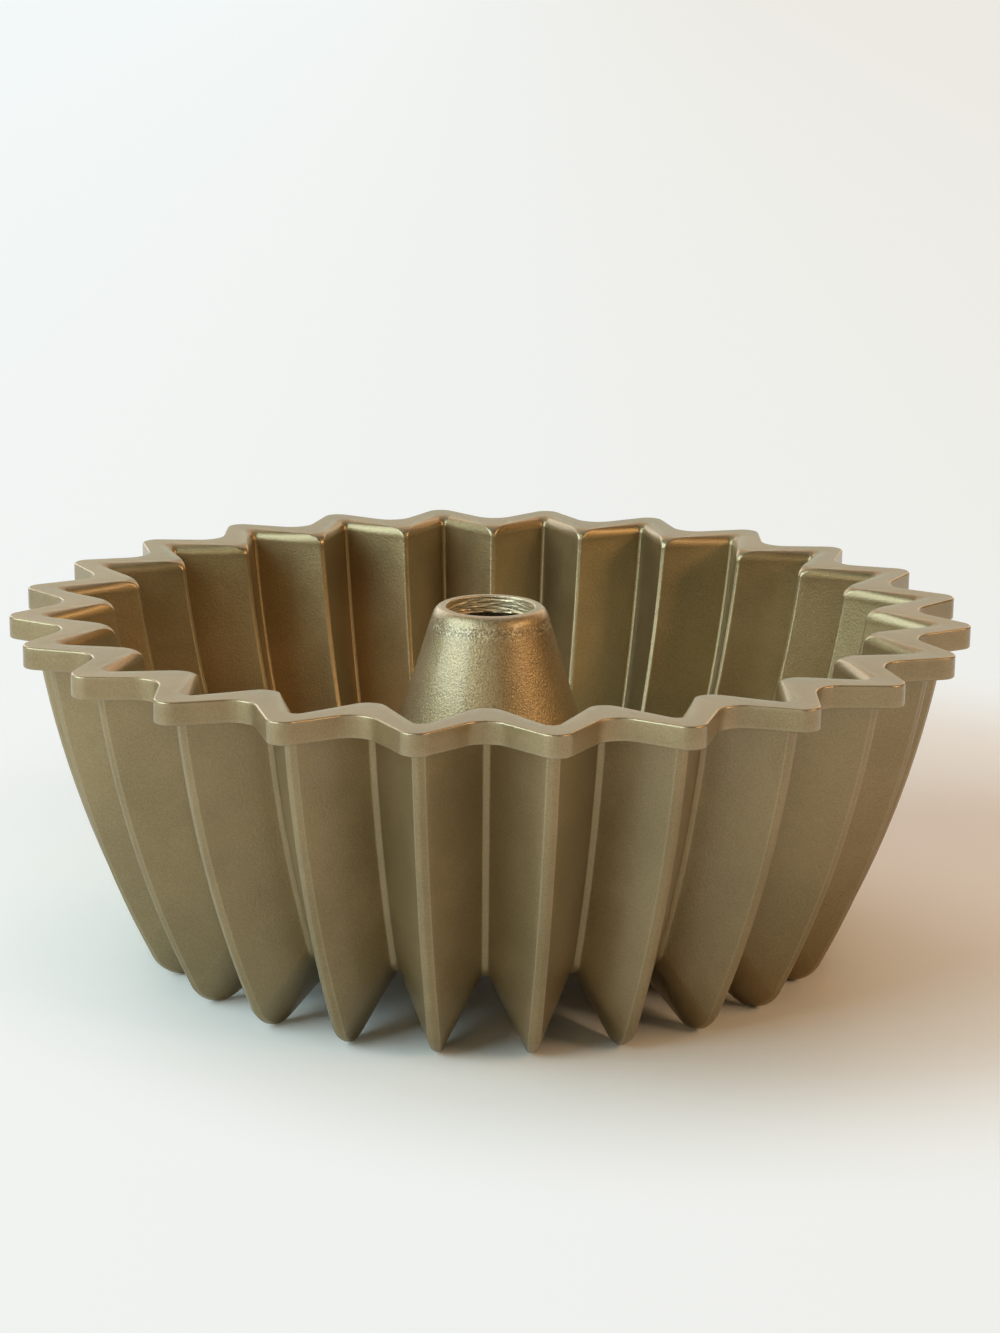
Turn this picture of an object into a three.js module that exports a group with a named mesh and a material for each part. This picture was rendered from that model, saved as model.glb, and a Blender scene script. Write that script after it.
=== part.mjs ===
import * as THREE from 'three';

// Fluted tube pan: one casting with a zigzag rim, a ring of straight pleats and a conical tube.
// Millimetres, +Z up. The origin is on the table, under the middle of the tube. -Y is the front,
// where a valley lies between two flutes.

// Overall
const height = 91.4;
const fluteCount = 24;

// Rim: a flat flange with one rounded tooth over each flute. It overhangs the crests and valleys.
const toothTipRadius = 125;
const tipOverhang = 6.4;
const rootOverhang = 9.5;
const toothTipRound = 4.3;
const toothRootRound = 6.5;
const rimDepth = 5.7;
const rimEdgeChamfer = 1;
const mouthRound = 3.2;
const mouthTipRound = 3;
const mouthRootRound = 5;

// Pleated wall: depth and widths of the folds, which have a narrow flat along them
const fluteDepth = 15.3;
const wallCurveRadius = 270;
const metalAcrossFold = 4.9;
const crestWidth = 3;
const valleyWidth = 1.6;
const grooveWidth = 1.6;
const innerCrestWidth = 1.2;

// Feet and floor: each crest turns under the pan as a foot, each valley as an arch between feet
const footRadius = 84.4;
const footRound = 10;
const footFlat = 2;
const footWidth = 1.8;
const archHeight = 18;
const archInnerRound = 2.1;
const archWidth = 5;
const innerArchWidth = 6.4;

// Hub: where the flutes run out into the foot of the tube
const hubFlare = 6.3;
const hubHeight = 24;
const hubBend = 4.9;
const hubRise = THREE.MathUtils.degToRad(45);
const seam = 0.3;

// Tube: a hollow cone that is open at both ends
const tubeTopRadius = 14.6;
const tubeTaper = THREE.MathUtils.degToRad(17);
const tubeWall = 3.1;
const tubeLipWidth = 2.9;
const tubeMouthLand = 4.5;
const tubeLipRound = 3;
const tubeLipFlat = 0.8;

// Satin coat
const coatColor = '#a39678';
const coatRoughness = 0.42;
const coatMetalness = 0.85;

// Fineness of the facets
const wallSteps = 4;
const footSteps = 5;
const floorSteps = 4;
const toothPoints = 5;
const tubeSides = 48;
const flareSteps = 5;

const halfPitch = Math.PI / fluteCount;
const quarterTurn = Math.PI / 2;
const middle = new THREE.Vector2(0, 0);
const rimUnderside = height - rimDepth;
const crestTopRadius = toothTipRadius - tipOverhang;
const toothRootRadius = crestTopRadius - fluteDepth + rootOverhang;
const archRound = archInnerRound + metalAcrossFold;
const coneSlope = Math.tan(tubeTaper);
const tubeMouthRadius = tubeTopRadius - tubeLipWidth;
const hubTopHeight = hubHeight + metalAcrossFold;
const hubRadius = tubeTopRadius + (height - hubTopHeight) * coneSlope + hubFlare;

// Centre of the crest's arc in the (radius, height) plane. The arc passes the crest's top and runs
// smoothly into the round of the foot.
function findWallCentre() {
  const top = new THREE.Vector2(crestTopRadius, rimUnderside);
  const foot = new THREE.Vector2(footRadius, footRound);
  const reach = wallCurveRadius - footRound;
  const span = top.distanceTo(foot);
  const along = (wallCurveRadius ** 2 - reach ** 2 + span ** 2) / (2 * span);
  const aside = Math.sqrt(wallCurveRadius ** 2 - along ** 2);
  const down = foot.clone().sub(top).normalize();
  const inward = new THREE.Vector2(down.y, -down.x);
  return top.addScaledVector(down, along).addScaledVector(inward, aside);
}

const wallCentre = findWallCentre();

function crestRadiusAt(z) {
  return wallCentre.x + Math.sqrt(wallCurveRadius ** 2 - (z - wallCentre.y) ** 2);
}

// One fold from the rim to the hub, as four curves in the (radius, height) plane: wall, round under
// the wall, flat and floor. The floor runs straight to its bend, then turns up to the hub's slope.
function foldLine(depth, roundCentre, round, hubEndRadius) {
  const centre = new THREE.Vector2(wallCentre.x - depth, wallCentre.y);
  const startAngle = Math.atan2(rimUnderside - centre.y, crestTopRadius - depth - centre.x);
  const endAngle = Math.atan2(roundCentre.y - centre.y, roundCentre.x - centre.x);
  const flatStart = new THREE.Vector2(roundCentre.x, roundCentre.y - round);
  const flatEnd = new THREE.Vector2(flatStart.x - footFlat, flatStart.y);
  const hubEnd = new THREE.Vector2(hubEndRadius, hubHeight);
  const bend = new THREE.Vector2(hubEndRadius + hubBend, hubHeight - hubBend * Math.tan(hubRise));
  return {
    wall: new THREE.EllipseCurve(
      centre.x, centre.y, wallCurveRadius, wallCurveRadius, startAngle, endAngle, true),
    round: new THREE.EllipseCurve(
      roundCentre.x, roundCentre.y, round, round, endAngle, -quarterTurn, true),
    flat: new THREE.LineCurve(flatStart, flatEnd),
    floor: new THREE.QuadraticBezierCurve(flatEnd, bend, hubEnd),
  };
}

function crestLine() {
  const roundCentre = new THREE.Vector2(footRadius, footRound);
  return foldLine(0, roundCentre, footRound, hubRadius);
}

function valleyLine() {
  const roundHeight = archHeight + archRound;
  const reach = Math.sqrt((wallCurveRadius - archRound) ** 2 - (wallCentre.y - roundHeight) ** 2);
  const roundCentre = new THREE.Vector2(wallCentre.x - fluteDepth + reach, roundHeight);
  return foldLine(fluteDepth, roundCentre, archRound, hubRadius / Math.cos(halfPitch));
}

// Stations from the rim to the hub. The turn goes from 0 on the wall to 1 on the floor.
function fluteStations() {
  const stations = [{ stretch: 'wall', t: 0, turn: 0 }];
  const addSteps = (stretch, steps, turnAt) => {
    for (let step = 1; step <= steps; step++) {
      const t = step / steps;
      stations.push({ stretch, t, turn: turnAt(t) });
    }
  };
  addSteps('wall', wallSteps, () => 0);
  addSteps('round', footSteps, (t) => t);
  addSteps('flat', 1, () => 1);
  addSteps('floor', floorSteps, () => 1);
  return stations;
}

// Points across one flute, from the valley on one side over the crest to the valley on the other.
// X runs out along the flute.
function foldChain(crest, crestSpan, valley, valleySpan) {
  const valleyOut = valley.x * Math.cos(halfPitch);
  const valleySide = valley.x * Math.sin(halfPitch) - seam / 2;
  const valleyEdge = valleySide - valleySpan / 2;
  return [
    new THREE.Vector3(valleyOut, -valleySide, valley.y),
    new THREE.Vector3(valleyOut, -valleyEdge, valley.y),
    new THREE.Vector3(crest.x, -crestSpan / 2, crest.y),
    new THREE.Vector3(crest.x, crestSpan / 2, crest.y),
    new THREE.Vector3(valleyOut, valleyEdge, valley.y),
    new THREE.Vector3(valleyOut, valleySide, valley.y),
  ];
}

// A closed solid between two matching grids of points. Rows cross columns so that row x column
// points out of the outside grid. A ring joins its last row to its first.
function slab(outside, inside, isRing) {
  const rows = outside.length;
  const lastColumn = outside[0].length - 1;
  const outer = (row, column) => (row % rows) * (lastColumn + 1) + column;
  const inner = (row, column) => rows * (lastColumn + 1) + outer(row, column);
  const index = [];
  const quad = (a, b, c, d) => index.push(a, b, c, a, c, d);
  const spans = isRing ? rows : rows - 1;
  for (let row = 0; row < spans; row++) {
    const next = row + 1;
    for (let column = 0; column < lastColumn; column++) {
      const beside = column + 1;
      quad(outer(row, column), outer(next, column), outer(next, beside), outer(row, beside));
      quad(inner(row, column), inner(row, beside), inner(next, beside), inner(next, column));
    }
    quad(outer(row, 0), inner(row, 0), inner(next, 0), outer(next, 0));
    const end = lastColumn;
    quad(outer(row, end), outer(next, end), inner(next, end), inner(row, end));
  }
  if (!isRing) {
    for (let column = 0; column < lastColumn; column++) {
      const beside = column + 1;
      quad(outer(0, column), outer(0, beside), inner(0, beside), inner(0, column));
      quad(outer(spans, column), inner(spans, column), inner(spans, beside), outer(spans, beside));
    }
  }
  const geometry = new THREE.BufferGeometry();
  geometry.setFromPoints([...outside.flat(), ...inside.flat()]);
  geometry.setIndex(index);
  geometry.computeVertexNormals();
  return geometry;
}

function fluteGeometry() {
  const crests = crestLine();
  const valleys = valleyLine();
  const outside = [];
  const inside = [];
  for (const { stretch, t, turn } of fluteStations()) {
    const crest = crests[stretch].getPoint(t);
    const valley = valleys[stretch].getPoint(t);
    const lean = turn * quarterTurn;
    const inward = new THREE.Vector2(-Math.cos(lean), Math.sin(lean));
    inward.multiplyScalar(metalAcrossFold);
    const crestSpan = THREE.MathUtils.lerp(crestWidth, footWidth, turn);
    const valleySpan = THREE.MathUtils.lerp(valleyWidth, archWidth, turn);
    const innerSpan = THREE.MathUtils.lerp(innerCrestWidth, innerArchWidth, turn);
    outside.push(foldChain(crest, crestSpan, valley, valleySpan));
    inside.push(foldChain(crest.add(inward), grooveWidth, valley.add(inward), innerSpan));
  }
  return slab(outside, inside, false);
}

// Evenly spread values from start to end, one for each point of a tooth's tip or root.
function spread(start, end) {
  const values = [];
  for (let point = 0; point < toothPoints; point++) {
    values.push(THREE.MathUtils.lerp(start, end, point / (toothPoints - 1)));
  }
  return values;
}

// Repeats one tooth's points around the rim. The first tooth is half a pitch past +X.
function aroundRim(tooth) {
  const outline = [];
  for (let flute = 0; flute < fluteCount; flute++) {
    const azimuth = halfPitch * (2 * flute + 1);
    for (const point of tooth) {
      outline.push(point.clone().rotateAround(middle, azimuth));
    }
  }
  return outline;
}

// Zigzag with round tips and roots, joined by flanks that touch both rounds.
function roundZigzag(tipRadius, tipRound, rootRadius, rootRound) {
  const tip = new THREE.Vector2(tipRadius - tipRound, 0);
  const root = new THREE.Vector2(rootRadius + rootRound, 0).rotateAround(middle, halfPitch);
  const toRoot = root.clone().sub(tip);
  const flank = toRoot.angle() - Math.acos((tipRound + rootRound) / toRoot.length());
  const onRound = (centre, radius, angle) =>
    new THREE.Vector2(Math.cos(angle), Math.sin(angle)).multiplyScalar(radius).add(centre);
  const tipAngles = spread(-flank, flank);
  const rootAngles = spread(flank, 2 * halfPitch - flank);
  return aroundRim([
    ...tipAngles.map((angle) => onRound(tip, tipRound, angle)),
    ...rootAngles.map((angle) => onRound(root, -rootRound, angle)),
  ]);
}

// Zigzag with flat tips and roots, which follows the inside of the flutes.
function flatZigzag(tipRadius, tipSpan, rootRadius, rootSpan) {
  const rootOut = rootRadius * Math.cos(halfPitch);
  const rootSide = rootRadius * Math.sin(halfPitch) - rootSpan / 2;
  const leaving = new THREE.Vector2(rootOut, rootSide);
  const arriving = new THREE.Vector2(rootOut, -rootSide).rotateAround(middle, 2 * halfPitch);
  return aroundRim([
    ...spread(-tipSpan / 2, tipSpan / 2).map((side) => new THREE.Vector2(tipRadius, side)),
    ...spread(0, 1).map((share) => leaving.clone().lerp(arriving, share)),
  ]);
}

function rimGeometry() {
  const atHeight = (outline, z) => outline.map((point) => new THREE.Vector3(point.x, point.y, z));
  const innerOutlineAt = (z) => {
    const groove = crestRadiusAt(z) - metalAcrossFold;
    return flatZigzag(groove, grooveWidth, groove - fluteDepth, innerCrestWidth);
  };
  const edge = roundZigzag(toothTipRadius, toothTipRound, toothRootRadius, toothRootRound);
  const chamferEdge = roundZigzag(
    toothTipRadius - rimEdgeChamfer, toothTipRound - rimEdgeChamfer,
    toothRootRadius - rimEdgeChamfer, toothRootRound + rimEdgeChamfer);
  const roundStart = height - mouthRound;
  const mouthTip = crestRadiusAt(roundStart) - metalAcrossFold + mouthRound;
  const wallEdge = innerOutlineAt(roundStart);
  const mouthEdge = roundZigzag(mouthTip, mouthTipRound, mouthTip - fluteDepth, mouthRootRound);
  const halfway = quarterTurn / 2;
  const inset = 1 - Math.cos(halfway);
  const middleEdge = wallEdge.map((point, place) => point.clone().lerp(mouthEdge[place], inset));
  const outside = [
    atHeight(chamferEdge, rimUnderside),
    atHeight(edge, rimUnderside + rimEdgeChamfer),
    atHeight(edge, height - rimEdgeChamfer),
    atHeight(chamferEdge, height),
  ];
  const inside = [
    atHeight(innerOutlineAt(rimUnderside), rimUnderside),
    atHeight(wallEdge, roundStart),
    atHeight(middleEdge, roundStart + mouthRound * Math.sin(halfway)),
    atHeight(mouthEdge, height),
  ];
  const rowsOf = (levels) => levels[0].map((_, place) => levels.map((level) => level[place]));
  return slab(rowsOf(outside), rowsOf(inside), true);
}

// Flare from the hub into a cone: the bend where both slopes meet, and the point on the cone that is
// as far past the bend as the hub is before it.
function flareInto(coneTopRadius, hubPoint) {
  const hubSlope = Math.tan(hubRise);
  const coneReach = coneTopRadius + coneSlope * (height - hubPoint.y - hubPoint.x * hubSlope);
  const bendRadius = coneReach / (1 - coneSlope * hubSlope);
  const bend = new THREE.Vector2(bendRadius, hubPoint.y + (hubPoint.x - bendRadius) * hubSlope);
  const upCone = new THREE.Vector2(-Math.sin(tubeTaper), Math.cos(tubeTaper));
  const end = upCone.multiplyScalar(bend.distanceTo(hubPoint)).add(bend);
  return { bend, end };
}

function tubeGeometry() {
  const innerTopRadius = tubeTopRadius - tubeWall / Math.cos(tubeTaper);
  const hubTop = new THREE.Vector2(hubRadius - seam, hubTopHeight);
  const hubUnder = new THREE.Vector2(hubRadius - seam, hubHeight);
  const outerFlare = flareInto(tubeTopRadius, hubTop);
  const innerFlare = flareInto(innerTopRadius, hubUnder);
  const outline = new THREE.Path();
  outline.moveTo(hubUnder.x, hubUnder.y);
  outline.lineTo(hubTop.x, hubTop.y);
  outline.quadraticCurveTo(outerFlare.bend.x, outerFlare.bend.y, outerFlare.end.x, outerFlare.end.y);
  outline.lineTo(tubeTopRadius + tubeLipRound * coneSlope, height - tubeLipRound);
  outline.quadraticCurveTo(tubeTopRadius, height, tubeMouthRadius + tubeLipFlat, height);
  outline.lineTo(tubeMouthRadius, height);
  outline.lineTo(tubeMouthRadius, height - tubeMouthLand);
  outline.lineTo(innerTopRadius + tubeMouthLand * coneSlope, height - tubeMouthLand);
  outline.lineTo(innerFlare.end.x, innerFlare.end.y);
  outline.quadraticCurveTo(innerFlare.bend.x, innerFlare.bend.y, hubUnder.x, hubUnder.y);
  const geometry = new THREE.LatheGeometry(outline.getPoints(flareSteps), tubeSides);
  geometry.rotateX(quarterTurn);
  return geometry;
}

function champagneCoat() {
  return new THREE.MeshStandardMaterial({
    color: coatColor,
    roughness: coatRoughness,
    metalness: coatMetalness,
  });
}

function addPiece(pan, name, geometry) {
  const mesh = new THREE.Mesh(geometry, champagneCoat());
  mesh.name = name;
  pan.add(mesh);
  return mesh;
}

// Flutes are numbered counterclockwise from the first one past +X.
function buildPan() {
  const pan = new THREE.Group();
  addPiece(pan, 'rim_flange', rimGeometry());
  const flute = fluteGeometry();
  for (let number = 1; number <= fluteCount; number++) {
    const mesh = addPiece(pan, `flute_${String(number).padStart(2, '0')}`, flute);
    mesh.rotation.z = halfPitch * (2 * number - 1);
  }
  addPiece(pan, 'centre_tube', tubeGeometry());
  return pan;
}

export default buildPan();
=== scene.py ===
"""Fluted tube pan: smooth cast surfaces with a satin coat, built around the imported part."""

import math
from collections import namedtuple

import bmesh
import bpy
from mathutils import Matrix, Vector, noise


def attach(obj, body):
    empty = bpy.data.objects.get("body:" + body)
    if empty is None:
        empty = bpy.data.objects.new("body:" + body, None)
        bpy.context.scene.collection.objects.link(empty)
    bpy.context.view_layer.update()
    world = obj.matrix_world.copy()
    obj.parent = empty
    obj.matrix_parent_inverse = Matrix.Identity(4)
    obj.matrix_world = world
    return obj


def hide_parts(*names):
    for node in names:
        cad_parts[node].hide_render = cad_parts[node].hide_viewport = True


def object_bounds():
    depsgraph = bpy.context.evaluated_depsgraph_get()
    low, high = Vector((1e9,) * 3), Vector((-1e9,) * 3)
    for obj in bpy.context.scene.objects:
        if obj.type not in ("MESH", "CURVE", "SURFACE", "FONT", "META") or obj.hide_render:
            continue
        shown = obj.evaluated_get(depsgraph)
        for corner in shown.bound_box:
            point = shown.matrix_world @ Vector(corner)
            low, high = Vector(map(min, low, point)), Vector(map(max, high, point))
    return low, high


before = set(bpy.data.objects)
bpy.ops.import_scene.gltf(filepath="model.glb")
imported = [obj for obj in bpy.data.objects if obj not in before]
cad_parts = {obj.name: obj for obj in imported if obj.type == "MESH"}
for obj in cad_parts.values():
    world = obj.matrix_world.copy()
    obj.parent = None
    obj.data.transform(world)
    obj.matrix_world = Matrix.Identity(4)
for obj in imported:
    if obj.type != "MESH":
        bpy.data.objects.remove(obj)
CAD_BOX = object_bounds()

bl_info = {
    "name": "Fluted tube pan",
    "version": (1, 0, 0),
    "blender": (4, 5, 0),
    "location": "View3D > Sidebar > Pan",
    "description": "Builds a cast fluted tube pan and the studio around it",
    "category": "Object",
}

MM = 0.001
BODY = "root"
RIM_NODE = "rim_flange"
TUBE_NODE = "centre_tube"
FLUTE_NODES = sorted(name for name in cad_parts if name.startswith("flute_"))

HALF_PITCH = math.pi / len(FLUTE_NODES)
QUARTER_TURN = math.pi / 2

# Edges whose faces bend by more than this stay sharp in the smooth shading.
SHARP_ANGLE = math.radians(19)

# Rounds of a fold: the ridge's cut as a share of the crest strip's half width, and the largest cut of
# any corner as a share of the side that it cuts.
RIDGE_CUT = 0.3
LARGEST_CUT = 0.45

# A last row beside each rounded edge of the rim, in radii of the round, keeps the flat face flat.
SUPPORT_ROW = 1.4

# The edge attribute is 1 where the surface bends outwards by this much or more from face to face. It
# places the painted edge highlight and the bare specks. A larger bend than the limit is a hidden end of
# a piece and gets neither.
EDGE = "edge"
EDGE_ANGLE = math.radians(9.5)
EDGE_LIMIT = math.radians(20)

# The tooth's tip is set so that the smooth rim just fills the part's box.
TOOTH_TIP_ROUND = 4.3 * MM
TOOTH_TIP_RADIUS = TOOTH_TIP_ROUND + (CAD_BOX[1].x - TOOTH_TIP_ROUND) / math.cos(HALF_PITCH)


def length(name, description, default):
    """A size in metres."""
    return bpy.props.FloatProperty(
        name=name, description=description, default=default, min=0.0, precision=5, unit="LENGTH"
    )


def angle(name, description, default):
    """An angle, given in degrees."""
    return bpy.props.FloatProperty(
        name=name, description=description, default=math.radians(default), subtype="ANGLE"
    )


def count(name, description, default):
    """A number of steps."""
    return bpy.props.IntProperty(name=name, description=description, default=default, min=1)


def colour(name, description, default):
    """A linear colour."""
    return bpy.props.FloatVectorProperty(
        name=name, description=description, default=default, size=3, min=0.0, max=1.0, subtype="COLOR"
    )


def factor(name, description, default):
    """A value from 0 to 1, such as a roughness."""
    return bpy.props.FloatProperty(
        name=name, description=description, default=default, min=0.0, max=1.0, subtype="FACTOR"
    )


def watts(name, description, default):
    """The power of a lamp."""
    return bpy.props.FloatProperty(
        name=name, description=description, default=default, min=0.0, unit="POWER"
    )


class PAN_PG_sizes(bpy.types.PropertyGroup):
    """Sizes of the cast pan"""

    height: length("Height", "From the table to the rim's top", CAD_BOX[1].z)

    tooth_tip_radius: length("Tooth tip radius", "From the axis to a tooth's tip", TOOTH_TIP_RADIUS)
    tooth_tip_round: length("Tooth tip round", "Radius of a tooth's tip", TOOTH_TIP_ROUND)
    tooth_root_round: length("Tooth root round", "Radius between two teeth", 6.5 * MM)
    tip_overhang: length("Tip overhang", "Tooth tip past the crest below it", 6.4 * MM)
    root_overhang: length("Root overhang", "Tooth root past the valley below it", 9.5 * MM)
    rim_depth: length("Rim depth", "Thickness of the flange", 5.7 * MM)
    rim_edge_round: length("Rim edge round", "Radius of the flange's upper outer edge", 0.5 * MM)
    rim_lower_round: length("Rim lower round", "Radius of the flange's lower outer edge", 0.35 * MM)
    mouth_round: length("Mouth round", "Height of the round-over into the mouth", 3.2 * MM)
    mouth_tip_round: length("Mouth tip round", "Radius of the mouth over a crest", 3.0 * MM)
    mouth_root_round: length("Mouth root round", "Radius of the mouth over a valley", 5.0 * MM)
    mouth_turn: angle("Mouth turn", "How far the round-over turns before it meets the flat top", 86.0)

    flute_depth: length("Flute depth", "From a crest to the valley beside it", 15.3 * MM)
    wall_curve_radius: length("Wall curve", "Radius of the wall from rim to foot", 270.0 * MM)
    metal_across_fold: length("Metal across a fold", "Thickness measured along the radius", 4.9 * MM)

    foot_radius: length("Foot radius", "From the axis to the lowest point of a foot", 84.4 * MM)
    foot_round: length("Foot round", "Radius of a crest as it turns under", 10.0 * MM)
    arch_height: length("Arch height", "From the table to the arch between two feet", 18.0 * MM)
    arch_round: length("Arch round", "Radius of a valley as it turns under", 7.0 * MM)

    hub_height: length("Hub height", "From the table to the underside of the hub", 24.0 * MM)
    hub_flare: length("Hub flare", "Hub past the tube's cone", 6.3 * MM)
    hub_bend: length("Hub bend", "Width of the bend where the floor turns up", 4.9 * MM)
    hub_rise: angle("Hub rise", "Slope of the hub", 45.0)

    tube_top_radius: length("Tube top radius", "Cone at the height of the mouth", 14.6 * MM)
    tube_taper: angle("Tube taper", "Slope of the cone from the axis", 17.0)
    tube_wall: length("Tube wall", "Thickness of the cone", 3.1 * MM)
    tube_lip_round: length("Tube lip round", "Height of the rounded lip", 3.0 * MM)
    tube_lip_flat: length("Tube lip flat", "Width of the flat ring on the lip", 0.8 * MM)
    tube_mouth_radius: length("Tube mouth radius", "Radius of the hole", 11.7 * MM)
    tube_mouth_land: length("Tube mouth land", "Depth of the narrow part of the hole", 4.5 * MM)
    tube_edge_round: length("Tube edge round", "Radius of the hole's edge", 0.35 * MM)
    ring_mark: length("Ring mark", "Depth of the marks around the hole", 0.12 * MM)
    ring_pitch: length("Ring pitch", "From one mark around the hole to the next", 0.55 * MM)
    flash: length("Flash", "Width of the ragged edge under the hole", 0.7 * MM)
    band_drop: length("Band drop", "From the mouth down to the pitted band around the tube", 2.4 * MM)
    band_width: length("Band width", "Height of the pitted band", 3.2 * MM)
    band_fade: length("Band fade", "Half the way over which the pitted band fades out", 1.4 * MM)

    wall_steps: count("Wall steps", "Rows on the wall", 14)
    round_steps: count("Round steps", "Rows around a foot", 14)
    floor_steps: count("Floor steps", "Rows on the floor", 14)
    corner_steps: count("Corner steps", "Columns in each rounded corner of a fold", 4)
    flank_steps: count("Flank steps", "Columns inside each flank", 4)
    edge_steps: count("Edge steps", "Rows in each rounded edge", 6)
    mouth_steps: count("Mouth steps", "Rows in the round-over into the mouth", 16)
    tube_sides: count("Tube sides", "Columns around the tube", 192)


class PAN_PG_finish(bpy.types.PropertyGroup):
    """Colours, gloss and grain of the coat"""

    coat: colour("Coat", "Champagne coat", (0.356, 0.262, 0.134))
    coat_shade: colour("Coat shade", "Darker patches of the coat", (0.300, 0.221, 0.109))
    tube_coat: colour("Tube coat", "Champagne coat on the tube", (0.400, 0.300, 0.170))
    tube_shade: colour("Tube shade", "Darker patches of the tube's coat", (0.337, 0.253, 0.138))
    bore: colour("Bore", "Rough metal inside the tube's hole", (0.84, 0.70, 0.48))
    # The colour of bare specks, which also paints the highlight along the edges and the glints on the
    # band's lumps.
    wear_and_highlight: colour("Worn edge", "Bare specks along the edges", (0.56, 0.48, 0.34))

    metallic: factor("Metallic", "Share of metallic reflection", 0.84)
    wall_roughness: factor("Wall roughness", "Roughness of flutes and rim", 0.45)
    wall_glitter: factor("Wall glitter", "How far flakes on flutes and rim differ from the coat", 0.12)
    tube_roughness: factor("Tube roughness", "Roughness of the tube", 0.44)
    tube_glitter: factor("Tube glitter", "How far flakes on the tube differ from the coat", 0.32)
    clear_coat: factor("Clear coat", "Strength of the coat's colourless gloss", 0.65)
    clear_roughness: factor("Clear roughness", "Roughness of the colourless gloss", 0.22)

    wall_grain: length("Wall grain", "Width of the orange peel on flutes and rim", 0.6 * MM)
    wall_grain_depth: length("Wall grain depth", "Depth of that orange peel", 0.08 * MM)
    tube_grain: length("Tube grain", "Width of the orange peel on the tube", 0.55 * MM)
    tube_grain_depth: length("Tube grain depth", "Depth of the tube's orange peel", 0.16 * MM)
    patch_size: length("Patch size", "Width of the coat's darker patches", 24.0 * MM)
    flake_size: length("Flake size", "Width of a glittering flake", 0.42 * MM)
    wave_size: length("Wave size", "Width of the casting's soft waves", 9.0 * MM)
    wave_depth: length("Wave depth", "Depth of the casting's soft waves", 0.05 * MM)
    lump_size: length("Lump size", "Width of a lump in the pitted band", 0.75 * MM)
    lump_depth: length("Lump depth", "Height of a lump in the pitted band", 0.05 * MM)
    speck_size: length("Speck size", "Width of a bare speck on an edge", 0.9 * MM)
    mark_size: length("Mark size", "Length of a fine mark inside the hole", 2.4 * MM)
    mark_depth: length("Mark depth", "Depth of a fine mark inside the hole", 0.12 * MM)
    grit_size: length("Grit size", "Width of the grit inside the hole", 0.8 * MM)
    grit_depth: length("Grit depth", "Depth of the grit inside the hole", 0.16 * MM)


class PAN_PG_studio(bpy.types.PropertyGroup):
    """Colours of the floor, and colours and strengths of the lamps"""

    floor: colour("Floor", "Pale floor under the pan", (0.90, 0.90, 0.92))
    bounce: colour("Bounce", "The same floor in the light that it throws back", (0.74, 0.74, 0.74))
    backdrop_left: colour("Backdrop left", "Far floor in the window's light", (0.90, 0.945, 0.94))
    backdrop_right: colour("Backdrop right", "Far floor in the lamp's light", (0.84, 0.82, 0.77))
    ambient: colour("Ambient", "Light from all around", (0.01, 0.01, 0.01))
    window: colour("Window", "Cool light from the left", (0.77, 0.98, 1.0))
    window_power: watts("Window power", "Strength of the light from the left", 15.5)
    lamp: colour("Lamp", "Warm light from the front right", (1.0, 0.68, 0.40))
    lamp_power: watts("Lamp power", "Strength of the light from the front right", 2.4)
    glow: colour("Glow", "Warm light from the right", (1.0, 0.63, 0.30))
    glow_power: watts("Glow power", "Strength of the light from the right", 2.8)
    wall: colour("Wall", "Low light from the wall behind", (0.92, 1.0, 0.85))
    wall_power: watts("Wall power", "Strength of the low light from behind", 2.9)
    wall_left: colour("Wall left", "Light from the wall behind, left", (1.0, 0.98, 0.97))
    wall_left_power: watts("Wall left power", "Strength of the light from behind, left", 2.6)
    wall_right: colour("Wall right", "Light from the wall behind, right", (1.0, 0.60, 0.30))
    wall_right_power: watts("Wall right power", "Strength of the light from behind, right", 1.6)
    cornice: colour("Cornice", "High light from behind", (1.0, 0.79, 0.63))
    cornice_power: watts("Cornice power", "Strength of the high light from behind", 4.0)
    fill: colour("Fill", "Weak light from the front", (1.0, 0.86, 0.55))
    fill_power: watts("Fill power", "Strength of the light from the front", 1.5)
    ceiling: colour("Ceiling", "Weak light from above", (0.97, 0.92, 0.95))
    ceiling_power: watts("Ceiling power", "Strength of the light from above", 1.4)


# Sockets of a Mix node that mixes colours. Their names aren't unique, so they go by number.
MIX_FACTOR = 0
MIX_FIRST = 6
MIX_SECOND = 7
MIX_RESULT = 2
NOISE_ROUGHNESS = 0.6


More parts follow.
